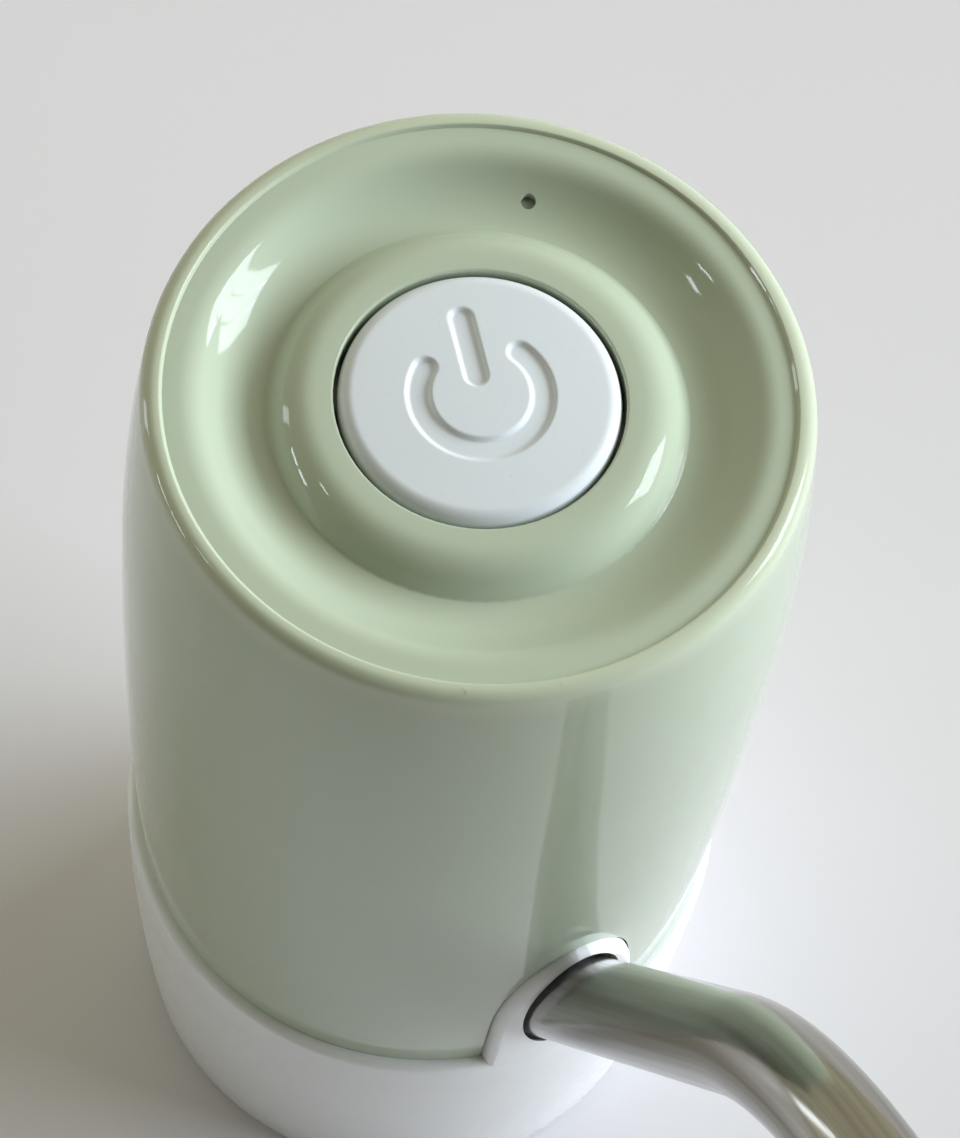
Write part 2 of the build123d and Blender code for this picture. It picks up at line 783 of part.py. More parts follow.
# Valve plate, with an inlet and an outlet hole pair for each cup
with BuildPart() as valve_plate:
    with BuildSketch(pump_plane.offset(valve_base)):
        Circle(head_radius)
        Circle(outlet_valve_stem_radius, mode=Mode.SUBTRACT)
        with PolarLocations(cup_ring_radius, cup_count):
            Circle(valve_stem_radius, mode=Mode.SUBTRACT)
        with PolarLocations(cup_ring_radius * valve_ring_shares[0], cup_count):
            Circle(valve_hole_radius, mode=Mode.SUBTRACT)
        with PolarLocations(cup_ring_radius * valve_ring_shares[1], cup_count):
            Circle(valve_hole_radius, mode=Mode.SUBTRACT)
        with screw_locations:
            Circle(pump_screw_radius, mode=Mode.SUBTRACT)
    extrude(amount=valve_plate_height)

with BuildPart() as valve_flaps:
    with BuildSketch(pump_plane.offset(valve_base - valve_disc_height)):
        Circle(outlet_valve_radius)
    extrude(amount=valve_disc_height)
    with BuildSketch(pump_plane.offset(valve_base)):
        Circle(outlet_valve_stem_radius)
        with PolarLocations(cup_ring_radius, cup_count):
            Circle(valve_stem_radius)
    extrude(amount=valve_plate_height)
    with BuildSketch(pump_plane.offset(diaphragm_base)):
        with PolarLocations(cup_ring_radius, cup_count):
            Circle(valve_disc_radius)
    extrude(amount=valve_disc_height)

# Diaphragm: a flange with three hollow cups
with BuildPart() as diaphragm:
    with BuildSketch(pump_plane.offset(diaphragm_base)):
        Circle(head_radius)
        with screw_locations:
            Circle(pump_screw_radius, mode=Mode.SUBTRACT)
    extrude(amount=diaphragm_flange_height)
    with BuildSketch(pump_plane.offset(housing_base)):
        with PolarLocations(cup_ring_radius, cup_count):
            Circle(cup_radius)
    extrude(amount=cup_height)
    fillet(diaphragm.edges().group_by(Axis.Z)[-1], cup_round)
    with BuildSketch(pump_plane.offset(diaphragm_base)):
        with PolarLocations(cup_ring_radius, cup_count):
            Circle(cup_radius - cup_wall)
    extrude(amount=diaphragm_flange_height + cup_height - cup_wall, mode=Mode.SUBTRACT)

# Pump housing: a cup whose flange rests on the chassis and whose top carries the motor
with BuildPart() as pump_housing:
    with BuildSketch(Plane.XZ):
        with BuildLine():
            flange_top = plate_top + housing_flange_height
            Polyline(
                (housing_bore_radius, housing_base),
                (head_radius, housing_base),
                (head_radius, plate_top),
                (housing_flange_radius, plate_top),
                (housing_flange_radius, flange_top),
                (housing_neck_radius, flange_top),
                (housing_neck_radius, housing_end),
                (motor_boss_radius + slip_gap, housing_end),
                (motor_boss_radius + slip_gap, housing_end - housing_top_thickness),
                (housing_bore_radius, housing_end - housing_top_thickness),
                close=True,
            )
        make_face()
    revolve(axis=Axis.Z)
pump_housing.part = pump_housing.part.moved(Location((pump_x, 0, 0)))
with BuildPart() as pump_screw_holes:
    with BuildSketch(pump_plane.offset(cover_base)):
        with screw_locations:
            Circle(pump_screw_radius)
    extrude(amount=pump_screw_length)
pump_housing.part = pump_housing.part - pump_screw_holes.part

with BuildPart() as pump_screws:
    add(pump_screw_holes.part)
    with BuildSketch(pump_plane.offset(cover_base - pump_screw_head_height)):
        with screw_locations:
            Circle(pump_screw_head_radius)
    extrude(amount=pump_screw_head_height)

# Crank: a hub on the motor's shaft, and a pin that leans through the pivot on the axis
lean = radians(wobble_angle)
wobble_plane = Plane(
    origin=(pump_x, 0, pivot_height),
    x_dir=(cos(lean), 0, -sin(lean)),
    z_dir=(sin(lean), 0, cos(lean)),
)
with BuildPart() as crank_pin:
    with BuildSketch(wobble_plane.offset(-crank_pin_below_length)):
        Circle(crank_pin_radius)
    extrude(amount=crank_pin_below_length + crank_pin_above_length)

with BuildPart() as crank_hub:
    with BuildSketch(pump_plane.offset(crank_base)):
        Circle(crank_radius)
    extrude(amount=crank_height)
    with BuildSketch(pump_plane.offset(pivot_height + shaft_end_rise)):
        Circle(shaft_radius)
    extrude(amount=crank_height, mode=Mode.SUBTRACT)
    with BuildSketch(wobble_plane):
        Circle(crank_pin_radius)
    extrude(amount=crank_pin_above_length, mode=Mode.SUBTRACT)

with BuildPart() as wobble_plate:
    with BuildSketch(wobble_plane.offset(-plate_thickness / 2)):
        Circle(plate_hub_radius)
        with PolarLocations(plate_arm_length / 2, cup_count):
            SlotOverall(plate_arm_length, plate_arm_width)
    extrude(amount=plate_thickness)
    with BuildSketch(wobble_plane.offset(-plate_thickness / 2)):
        Circle(plate_hub_radius)
    extrude(amount=plate_hub_height)
    with BuildSketch(wobble_plane.offset(-plate_thickness)):
        Circle(crank_pin_radius + running_gap)
    extrude(amount=plate_thickness + plate_hub_height + overrun_length, mode=Mode.SUBTRACT)

# Motor: can, magnets, rotor on its shaft, and the end cap with its terminals
with BuildPart() as motor_can:
    with BuildSketch(Plane.XZ):
        with BuildLine():
            can_inner = motor_radius - motor_wall
            shaft_hole = shaft_radius + running_gap
            Polyline(
                (shaft_hole, motor_base - motor_boss_height),
                (motor_boss_radius, motor_base - motor_boss_height),
                (motor_boss_radius, motor_base),
                (motor_radius, motor_base),
                (motor_radius, motor_end),
                (can_inner, motor_end),
                (can_inner, motor_base + motor_wall),
                (shaft_hole, motor_base + motor_wall),
                close=True,
            )
        make_face()
    revolve(axis=Axis.Z)
motor_can.part = motor_can.part.moved(Location((pump_x, 0, 0)))

rotor_base = motor_base + rotor_lift_height
magnet_inner = rotor_radius + magnet_gap
with BuildPart() as motor_magnets:
    with BuildSketch(Plane.XZ):
        with Locations(((magnet_inner + can_inner) / 2, rotor_base)):
            Rectangle(can_inner - magnet_inner, rotor_length, align=(Align.CENTER, Align.MIN))
    revolve(axis=Axis.Z, revolution_arc=magnet_sweep)
    mirror(about=Plane.XZ.rotated((0, 0, magnet_sweep / 2 - 90)))
motor_magnets.part = motor_magnets.part.moved(Location((pump_x, 0, 0)))

with BuildPart() as motor_shaft:
    with BuildSketch(pump_plane.offset(pivot_height + shaft_end_rise)):
        Circle(shaft_radius)
    extrude(amount=cap_end - shaft_tail_length - pivot_height - shaft_end_rise + shaft_radius)

with BuildPart() as rotor_core:
    with BuildSketch(pump_plane.offset(rotor_base)):
        Circle(rotor_radius)
        with PolarLocations(rotor_radius - rotor_slot_depth / 2, rotor_slots):
            Rectangle(rotor_slot_depth + rotor_slot_width, rotor_slot_width, mode=Mode.SUBTRACT)
        Circle(shaft_radius, mode=Mode.SUBTRACT)
    extrude(amount=rotor_length)

with BuildPart() as motor_end_cap:
    with BuildSketch(pump_plane.offset(motor_end - end_cap_plug_depth)):
        Circle(can_inner)
    extrude(amount=end_cap_plug_depth)
    with BuildSketch(pump_plane.offset(motor_end)):
        Circle(motor_radius)
    extrude(amount=end_cap_height)
    fillet(motor_end_cap.edges().group_by(Axis.Z)[-1], end_cap_round)
    with BuildSketch(pump_plane.offset(motor_end - end_cap_plug_depth)):
        Circle(shaft_radius + running_gap)
    extrude(amount=end_cap_plug_depth + end_cap_height - shaft_radius / 2, mode=Mode.SUBTRACT)
    with BuildSketch(pump_plane.offset(cap_end - running_gap)):
        with Locations((0, terminal_offset), (0, -terminal_offset)):
            Rectangle(terminal_width, terminal_thickness)
    extrude(amount=terminal_height + running_gap)

with BuildPart() as motor_leads:
    with BuildSketch(pump_plane.offset(terminal_end)):
        with Locations((0, terminal_offset), (0, -terminal_offset)):
            Circle(lead_radius)
    extrude(amount=board_height - terminal_end)

# Battery: a round cell between two contact strips
cell_plane = Plane(origin=(cell_x, 0, 0), z_dir=(0, 0, 1))
with BuildPart() as battery_cell:
    with BuildSketch(cell_plane.offset(cell_base)):
        Circle(cell_radius)
    extrude(amount=cell_length - cell_cap_height)
    fillet(battery_cell.edges().filter_by(GeomType.CIRCLE), cell_round)
    with BuildSketch(cell_plane.offset(cell_end - cell_cap_height)):
        Circle(cell_cap_radius)
    extrude(amount=cell_cap_height)

lead_y = cell_radius + lead_gap + lead_radius
with BuildPart() as battery_contacts:
    with BuildSketch(cell_plane.offset(plate_top)):
        with Locations((0, (lead_y + contact_reach_length - cell_radius) / 2)):
            Rectangle(contact_width / 2, lead_y + cell_radius - contact_reach_length)
    extrude(amount=contact_thickness)
    with BuildSketch(cell_plane.offset(cell_end)):
        with Locations((0, -cell_cap_radius)):
            Rectangle(contact_width, 2 * cell_radius - contact_reach_length)
    extrude(amount=contact_thickness)

with BuildPart() as battery_leads:
    with BuildSketch(cell_plane.offset(cell_base)):
        with Locations((0, lead_y - lead_gap)):
            Circle(lead_radius)
    extrude(amount=board_height - cell_base)
    with BuildSketch(cell_plane.offset(cell_end + contact_thickness)):
        with Locations((0, -cell_radius + contact_reach_length)):
            Circle(lead_radius)
    extrude(amount=board_height - cell_end - contact_thickness)

# Chassis: a floor plate, a collar on the motor, a cradle on the cell, a bulkhead and four posts
collar_inner = motor_radius + slip_gap
collar_outer = collar_inner + collar_wall
cradle_inner = cell_radius + slip_gap
cradle_outer = cradle_inner + cradle_wall
with BuildPart() as chassis:
    with BuildSketch(Plane.XY.offset(plate_base)):
        Circle(chassis_radius)
        with Locations((pump_x, 0)):
            Circle(head_radius + chassis_gap, mode=Mode.SUBTRACT)
    extrude(amount=chassis_plate)
    with BuildSketch(Plane.XY.offset(plate_top)):
        with Locations((cell_x, 0)):
            Circle(cradle_outer)
            Circle(cradle_inner, mode=Mode.SUBTRACT)
        with Locations((cell_x, 0)):
            Rectangle(
                cradle_outer + overrun_length,
                cradle_mouth,
                align=(Align.MIN, Align.CENTER),
                mode=Mode.SUBTRACT,
            )
    extrude(amount=cradle_height)
    with BuildSketch(Plane.XY.offset(housing_end)):
        with Locations(((pump_x + cell_x) / 2, 0)):
            Rectangle(cell_x - pump_x, web_width)
        with Locations((pump_x, 0)):
            Circle(collar_outer)
        with Locations((cell_x, 0)):
            Circle(cradle_inner, mode=Mode.SUBTRACT)
        with Locations((pump_x, 0)):
            Circle(collar_inner, mode=Mode.SUBTRACT)
    extrude(amount=collar_height)
    with BuildSketch(Plane.XY.offset(bulkhead_base)):
        Circle(bulkhead_radius)
        with Locations((pump_x, 0)):
            Circle(collar_inner, mode=Mode.SUBTRACT)
        with Locations((cell_x, 0)):
            Circle(cradle_inner, mode=Mode.SUBTRACT)
    extrude(amount=bulkhead_thickness)
    with BuildSketch(Plane.XY.offset(plate_base)):
        with Locations(*post_places):
            Circle(post_radius)
    extrude(amount=board_height - plate_base)
    with BuildSketch(Plane.XY.offset(plate_top)):
        with Locations((cell_x, lead_y)):
            Rectangle(contact_width, 2 * (lead_gap + 2 * lead_radius))
    extrude(amount=board_height, mode=Mode.SUBTRACT)
    with BuildSketch(Plane.XY.offset(plate_base)):
        with Locations(*boss_places):
            Circle(screw_radius)
    extrude(amount=chassis_plate, mode=Mode.SUBTRACT)
    with BuildSketch(Plane.XY.offset(board_height - board_screw_length + board_thickness)):
        with Locations(*post_places):
            Circle(board_screw_radius)
    extrude(amount=board_screw_length, mode=Mode.SUBTRACT)
    with BuildSketch(spout_plane.offset(-sleeve_floor_depth - sleeve_floor_wall)):
        Circle(sleeve_radius + sleeve_notch_gap)
    extrude(amount=sleeve_floor_depth + arch_rise, mode=Mode.SUBTRACT)

with BuildPart() as chassis_screws:
    with BuildSketch(Plane.XY.offset(plate_top - screw_length)):
        with Locations(*boss_places):
            Circle(screw_radius)
    extrude(amount=screw_length)
    with BuildSketch(Plane.XY.offset(plate_top)):
        with Locations(*boss_places):
            Circle(screw_head_radius)
    extrude(amount=screw_head_height)

# Circuit board and what stands on it
with BuildPart() as circuit_board:
    with BuildSketch(Plane.XY.offset(board_height)):
        Circle(board_radius)
        Rectangle(board_tab_reach, board_tab_width, align=(Align.MAX, Align.CENTER))
        with Locations(*post_places):
            Circle(board_screw_radius, mode=Mode.SUBTRACT)
    extrude(amount=board_thickness)

with BuildPart() as board_screws:
    with BuildSketch(Plane.XY.offset(board_top - board_screw_length)):
        with Locations(*post_places):
            Circle(board_screw_radius)
    extrude(amount=board_screw_length)
    with BuildSketch(Plane.XY.offset(board_top)):
        with Locations(*post_places):
            Circle(board_screw_head_radius)
    extrude(amount=board_screw_head_height)

with BuildPart() as tact_switch:
    with BuildSketch(Plane.XY.offset(board_top)):
        RectangleRounded(switch_width, switch_width, switch_wall)
    extrude(amount=switch_height)
    with BuildSketch(Plane.XY.offset(board_top + switch_wall)):
        Circle(actuator_radius + actuator_gap)
    extrude(amount=switch_height, mode=Mode.SUBTRACT)

with BuildPart() as switch_actuator:
    with BuildSketch(Plane.XY.offset(board_top + switch_height - actuator_depth)):
        Circle(actuator_radius)
    extrude(amount=switch_rise - switch_height + actuator_depth)

usb_height_mid = board_top + usb_height / 2
usb_mouth_x = -(wall_radius(usb_height_mid) - shell_wall - usb_mouth_gap)
usb_plane = Plane(origin=(usb_mouth_x, 0, usb_height_mid), x_dir=(0, 1, 0), z_dir=(1, 0, 0))
with BuildPart() as usb_socket:
    with BuildSketch(usb_plane):
        RectangleRounded(usb_width, usb_height, usb_round)
    extrude(amount=usb_depth)
    with BuildSketch(usb_plane):
        RectangleRounded(usb_width - 2 * usb_wall, usb_height - 2 * usb_wall, usb_round - usb_wall)
    extrude(amount=usb_depth - 2 * usb_wall, mode=Mode.SUBTRACT)
    with BuildSketch(usb_plane.offset(usb_wall)):
        Rectangle(usb_tongue_width, usb_tongue_height)
    extrude(amount=usb_depth - usb_wall)

with BuildPart() as control_chips:
    with BuildSketch(Plane.XY.offset(board_top)):
        with Locations((chip_x, chip_y)):
            RectangleRounded(chip_large_width, chip_small_width, usb_wall)
        with Locations((chip_x, -chip_y), (-chip_y, 0)):
            RectangleRounded(chip_small_width, chip_small_width, usb_wall)
    extrude(amount=chip_height)

# Lamp under a light pipe that ends just below the dished top
with BuildPart() as indicator_led:
    with BuildSketch(Plane.XY.offset(board_top)):
        with Locations((lamp_x, lamp_y)):
            Circle(lamp_radius)
    extrude(amount=lamp_height)

dish_width = shoulder_radius - ring_foot_radius
dish_depth = ring_foot_drop - rim_step_depth
dish_arc = (dish_width ** 2 + dish_depth ** 2) / (2 * dish_depth)
dish_rise = dish_arc - sqrt(dish_arc ** 2 - (lamp_ring_radius - ring_foot_radius) ** 2)
pipe_top = casing_height - ring_foot_drop + dish_rise - pipe_sink
with BuildPart() as light_pipe:
    with BuildSketch(Plane.XY.offset(board_top + lamp_height)):
        with Locations((lamp_x, lamp_y)):
            Circle(pipe_flange_radius)
    extrude(amount=deck_height - board_top - lamp_height)
    with BuildSketch(Plane.XY.offset(deck_height)):
        with Locations((lamp_x, lamp_y)):
            Circle(pipe_radius)
    extrude(amount=pipe_top - deck_height)

upper_shell.part.label = "upper_shell"
export_step(upper_shell.part, "parts/upper_shell.step")
button_cap.part.label = "button_cap"
export_step(button_cap.part, "parts/button_cap.step")
button_stem.part.label = "button_stem"
export_step(button_stem.part, "parts/button_stem.step")
button_seal.part.label = "button_seal"
export_step(button_seal.part, "parts/button_seal.step")
base_shell.part.label = "base_shell"
export_step(base_shell.part, "parts/base_shell.step")
neck_seal.part.label = "neck_seal"
export_step(neck_seal.part, "parts/neck_seal.step")
seam_seal.part.label = "seam_seal"
export_step(seam_seal.part, "parts/seam_seal.step")
intake_nozzle.part.label = "intake_nozzle"
export_step(intake_nozzle.part, "parts/intake_nozzle.step")
inlet_hose.part.label = "inlet_hose"
export_step(inlet_hose.part, "parts/inlet_hose.step")
outlet_hose.part.label = "outlet_hose"
export_step(outlet_hose.part, "parts/outlet_hose.step")
spout_tube.part.label = "spout_tube"
export_step(spout_tube.part, "parts/spout_tube.step")
spout_bush.part.label = "spout_bush"
export_step(spout_bush.part, "parts/spout_bush.step")
pump_cover.part.label = "pump_cover"
export_step(pump_cover.part, "parts/pump_cover.step")
valve_plate.part.label = "valve_plate"
export_step(valve_plate.part, "parts/valve_plate.step")
valve_flaps.part.label = "valve_flaps"
export_step(valve_flaps.part, "parts/valve_flaps.step")
diaphragm.part.label = "diaphragm"
export_step(diaphragm.part, "parts/diaphragm.step")
pump_housing.part.label = "pump_housing"
export_step(pump_housing.part, "parts/pump_housing.step")
pump_screws.part.label = "pump_screws"
export_step(pump_screws.part, "parts/pump_screws.step")
crank_pin.part.label = "crank_pin"
export_step(crank_pin.part, "parts/crank_pin.step")
crank_hub.part.label = "crank_hub"
export_step(crank_hub.part, "parts/crank_hub.step")
wobble_plate.part.label = "wobble_plate"
export_step(wobble_plate.part, "parts/wobble_plate.step")
motor_can.part.label = "motor_can"
export_step(motor_can.part, "parts/motor_can.step")
motor_magnets.part.label = "motor_magnets"
export_step(motor_magnets.part, "parts/motor_magnets.step")
motor_shaft.part.label = "motor_shaft"
export_step(motor_shaft.part, "parts/motor_shaft.step")
rotor_core.part.label = "rotor_core"
export_step(rotor_core.part, "parts/rotor_core.step")
motor_end_cap.part.label = "motor_end_cap"
export_step(motor_end_cap.part, "parts/motor_end_cap.step")
motor_leads.part.label = "motor_leads"
export_step(motor_leads.part, "parts/motor_leads.step")
battery_cell.part.label = "battery_cell"
export_step(battery_cell.part, "parts/battery_cell.step")
battery_contacts.part.label = "battery_contacts"
export_step(battery_contacts.part, "parts/battery_contacts.step")
battery_leads.part.label = "battery_leads"
export_step(battery_leads.part, "parts/battery_leads.step")
chassis.part.label = "chassis"
export_step(chassis.part, "parts/chassis.step")
chassis_screws.part.label = "chassis_screws"
export_step(chassis_screws.part, "parts/chassis_screws.step")
circuit_board.part.label = "circuit_board"
export_step(circuit_board.part, "parts/circuit_board.step")
board_screws.part.label = "board_screws"
export_step(board_screws.part, "parts/board_screws.step")
tact_switch.part.label = "tact_switch"
export_step(tact_switch.part, "parts/tact_switch.step")
switch_actuator.part.label = "switch_actuator"
export_step(switch_actuator.part, "parts/switch_actuator.step")
usb_socket.part.label = "usb_socket"
export_step(usb_socket.part, "parts/usb_socket.step")
control_chips.part.label = "control_chips"
export_step(control_chips.part, "parts/control_chips.step")
indicator_led.part.label = "indicator_led"
export_step(indicator_led.part, "parts/indicator_led.step")
light_pipe.part.label = "light_pipe"
export_step(light_pipe.part, "parts/light_pipe.step")
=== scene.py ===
import json
import math

import bpy
import numpy as np
from mathutils import Matrix, Vector


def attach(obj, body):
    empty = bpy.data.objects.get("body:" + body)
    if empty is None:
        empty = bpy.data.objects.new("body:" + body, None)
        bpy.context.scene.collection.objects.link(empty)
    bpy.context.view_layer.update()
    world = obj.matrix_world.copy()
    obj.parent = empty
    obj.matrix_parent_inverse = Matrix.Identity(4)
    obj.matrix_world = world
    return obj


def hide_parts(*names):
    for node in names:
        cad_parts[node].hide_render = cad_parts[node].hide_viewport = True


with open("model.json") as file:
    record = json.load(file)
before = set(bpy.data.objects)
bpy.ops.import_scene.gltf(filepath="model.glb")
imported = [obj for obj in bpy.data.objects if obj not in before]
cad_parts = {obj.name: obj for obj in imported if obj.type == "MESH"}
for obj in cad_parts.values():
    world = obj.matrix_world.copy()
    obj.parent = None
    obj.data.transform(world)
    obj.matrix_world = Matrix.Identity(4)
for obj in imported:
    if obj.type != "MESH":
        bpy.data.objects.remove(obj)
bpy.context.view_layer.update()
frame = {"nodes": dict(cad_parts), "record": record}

# Everything here is in metres, in the CAD frame: +Z up, the spout along +X
MM = 0.001
CASING_HEIGHT = 136.2 * MM

# Camera at the photograph's viewing angle
CAMERA_PLACE = (0.17958, -0.12283, 0.51848)
CAMERA_AIM = (0.00148, 0.00211, 0.09969)
CAMERA_ROLL = 8.99
CAMERA_LENS = 168.47
CAMERA_NEAR = 0.01
SENSOR_WIDTH = 36.0

# Push button with its pressed-in power sign, sizes as in the CAD model
BUTTON_RADIUS = 14.0502 * MM
BUTTON_CROWN = 0.4 * MM
BUTTON_EDGE_ROUND = 1.6 * MM
BUTTON_SKIRT = 4.9 * MM
BUTTON_SKIRT_EDGE = 0.2 * MM
BUTTON_WALL = 1.7 * MM
BUTTON_SEGMENTS = 360
BUTTON_PLAIN_STEPS = 8
BUTTON_ROUND_STEPS = 14
SIGN_RING_RADIUS = 6.15 * MM
SIGN_HALF_WIDTH = 1.1 * MM
SIGN_DEPTH = 0.40 * MM
SIGN_WALL = 0.62 * MM
SIGN_TURN = 166.0
SIGN_RING_OPEN = 51.0
SIGN_BAR_START = 2.1 * MM
SIGN_BAR_END = 8.75 * MM
SIGN_FIELD_RADIUS = 10.5 * MM
SIGN_FIELD_STEP = 0.12 * MM
SIGN_FIELD_START = SIGN_FIELD_STEP * 4

# Middle line of the spout, as in the CAD model: a straight run, one bend and a straight tail
SPOUT_START = np.array((35.0 * MM, 0.0, 56.7 * MM))
SPOUT_ANGLE = math.radians(61.0)
SPOUT_RUN = 54.2 * MM
SPOUT_BEND = 40.0 * MM
SPOUT_TURN = math.radians(131.0)

# Where the painted reflection on the casing's rim bead begins and is whole, out from the axis and up
RIM_REFLECTION_REACH = (31.0 * MM, 31.6 * MM)
RIM_REFLECTION_HEIGHT = (132.0 * MM, 135.6 * MM)

# Values of a noise between which a surface varies, and the limits of what it does
NOISE_LOW = 0.3
NOISE_HIGH = 0.7
NOISE_DETAIL = 3.0
LEAST_ROUGH = 0.02
GRAIN_HEIGHT = 0.05 * MM
SKIN_DEPTH = 1.0 * MM

# Streaks of drawn steel: scale of each noise and its stretch along the tube, then what they change
FINE_STREAKS = (3200.0, 0.008)
BROAD_STREAKS = (900.0, 0.02)
STREAK_DETAIL = 4.0
STREAK_DARK = 0.74
STREAK_PALE = 1.18
STREAK_SMOOTH = 0.7
STREAK_ROUGH = 1.5
STREAK_BUMP = 0.25
STREAK_HEIGHT = 0.02 * MM

# Mesh attribute that holds how far along and where around the spout a corner lies
DRAWN_WAY = "drawn_way"


def node_of(tree, kind, **values):
    """A new node with the given properties."""
    made = tree.nodes.new(kind)
    for key, value in values.items():
        setattr(made, key, value)
    return made


def noise_of(tree, place, scale, detail, stretch=None):
    """A noise over the given place, which is scaled along its axes first where a stretch is given."""
    noise = node_of(tree, "ShaderNodeTexNoise")
    noise.inputs["Scale"].default_value = scale
    noise.inputs["Detail"].default_value = detail
    if stretch is not None:
        mapping = node_of(tree, "ShaderNodeMapping")
        mapping.inputs["Scale"].default_value = stretch
        tree.links.new(place, mapping.inputs["Vector"])
        place = mapping.outputs["Vector"]
    tree.links.new(place, noise.inputs["Vector"])
    return noise.outputs["Fac"]


def tint_of(tree, noise, dark, pale):
    """A colour that runs from dark to pale with the noise."""
    ramp = node_of(tree, "ShaderNodeValToRGB")
    ramp.color_ramp.elements[0].position = NOISE_LOW
    ramp.color_ramp.elements[1].position = NOISE_HIGH
    ramp.color_ramp.elements[0].color = (*dark, 1.0)
    ramp.color_ramp.elements[1].color = (*pale, 1.0)
    tree.links.new(noise, ramp.inputs["Fac"])
    return ramp.outputs["Color"]


def span_of(tree, noise, low, high):
    """A number that runs from low to high with the noise."""
    span = node_of(tree, "ShaderNodeMapRange")
    span.inputs["From Min"].default_value = NOISE_LOW
    span.inputs["From Max"].default_value = NOISE_HIGH
    span.inputs["To Min"].default_value = low
    span.inputs["To Max"].default_value = high
    tree.links.new(noise, span.inputs["Value"])
    return span.outputs["Result"]


def bump_of(tree, noise, strength, height):
    """A normal that is bumped by the noise."""
    bumps = node_of(tree, "ShaderNodeBump")
    bumps.inputs["Strength"].default_value = strength
    bumps.inputs["Distance"].default_value = height
    tree.links.new(noise, bumps.inputs["Height"])
    return bumps.outputs["Normal"]


def fade_of(tree, value, low, high, start=0.0, end=1.0):
    """A smooth step from the start, where the value is low, to the end, where it is high."""
    fade = node_of(tree, "ShaderNodeMapRange", interpolation_type="SMOOTHSTEP")
    fade.inputs["From Min"].default_value = low
    fade.inputs["From Max"].default_value = high
    fade.inputs["To Min"].default_value = start
    fade.inputs["To Max"].default_value = end
    tree.links.new(value, fade.inputs["Value"])
    return fade.outputs["Result"]


def new_material(name):
    """A new node material, with its tree and its shader."""
    material = bpy.data.materials.new(name)
    material.use_nodes = True
    tree = material.node_tree
    return material, tree, tree.nodes["Principled BSDF"]


def surface(name, colour, rough, spread=0.03, shade=0.03, blotch=70.0, grain=1400.0, bump=0.04,
            stretch=None, metal=0.0, skin=0.0, clear=0.0, ior=1.5):
    """A moulded or painted surface: colour and roughness vary a little, and fine grain bumps it."""
    material, tree, shader = new_material(name)
    shader.inputs["Metallic"].default_value = metal
    shader.inputs["IOR"].default_value = ior
    shader.inputs["Subsurface Weight"].default_value = skin
    shader.inputs["Subsurface Scale"].default_value = SKIN_DEPTH
    shader.inputs["Transmission Weight"].default_value = clear
    place = node_of(tree, "ShaderNodeTexCoord").outputs["Object"]
    blotches = noise_of(tree, place, blotch, NOISE_DETAIL)
    dark = [level * (1 - shade) for level in colour]
    pale = [min(1.0, level * (1 + shade)) for level in colour]
    tree.links.new(tint_of(tree, blotches, dark, pale), shader.inputs["Base Color"])
    fine = noise_of(tree, place, grain, NOISE_DETAIL, stretch)
    roughness = span_of(tree, fine, max(LEAST_ROUGH, rough - spread), rough + spread)
    tree.links.new(roughness, shader.inputs["Roughness"])
    tree.links.new(bump_of(tree, fine, bump, GRAIN_HEIGHT), shader.inputs["Normal"])
    return material


def painted_rim_reflection(material, colour):
    """Painted reflection: the rim bead is painted a little paler than the rest of the casing, in place
    of the light it catches from the room.
    """
    tree = material.node_tree
    shader = tree.nodes["Principled BSDF"]
    plain = shader.inputs["Base Color"].links[0].from_socket
    place = node_of(tree, "ShaderNodeTexCoord").outputs["Object"]
    level = node_of(tree, "ShaderNodeVectorMath", operation="MULTIPLY")
    level.inputs[1].default_value = (1.0, 1.0, 0.0)
    tree.links.new(place, level.inputs[0])
    reach = node_of(tree, "ShaderNodeVectorMath", operation="LENGTH")
    tree.links.new(level.outputs["Vector"], reach.inputs[0])
    parts = node_of(tree, "ShaderNodeSeparateXYZ")
    tree.links.new(place, parts.inputs["Vector"])
    # Share of the painted reflection: on the rim bead, both out from the axis and up
    reflection_share = node_of(tree, "ShaderNodeMath", operation="MULTIPLY")
    tree.links.new(fade_of(tree, reach.outputs["Value"], *RIM_REFLECTION_REACH), reflection_share.inputs[0])
    tree.links.new(fade_of(tree, parts.outputs["Z"], *RIM_REFLECTION_HEIGHT), reflection_share.inputs[1])
    # The painted reflection mixes the paler green into the casing's own colour
    reflection_blend = node_of(tree, "ShaderNodeMix", data_type="RGBA")
    tree.links.new(reflection_share.outputs["Value"], reflection_blend.inputs["Factor"])
    tree.links.new(plain, reflection_blend.inputs["A"])
    reflection_blend.inputs["B"].default_value = (*colour, 1.0)
    tree.links.new(reflection_blend.outputs["Result"], shader.inputs["Base Color"])


def drawn_metal(name, colour, rough):
    """Drawn tube: fine streaks run along it, in colour, roughness and bump."""
    material, tree, shader = new_material(name)
    shader.inputs["Metallic"].default_value = 1.0
    way = node_of(tree, "ShaderNodeAttribute", attribute_name=DRAWN_WAY).outputs["Vector"]
    fine, broad = [
        noise_of(tree, way, scale, STREAK_DETAIL, (stretch, 1.0, 1.0))
        for scale, stretch in (FINE_STREAKS, BROAD_STREAKS)
    ]
    dark = [level * STREAK_DARK for level in colour]
    pale = [level * STREAK_PALE for level in colour]
    tree.links.new(tint_of(tree, broad, dark, pale), shader.inputs["Base Color"])
    roughness = span_of(tree, fine, rough * STREAK_SMOOTH, rough * STREAK_ROUGH)
    tree.links.new(roughness, shader.inputs["Roughness"])
    tree.links.new(bump_of(tree, fine, STREAK_BUMP, STREAK_HEIGHT), shader.inputs["Normal"])
    return material


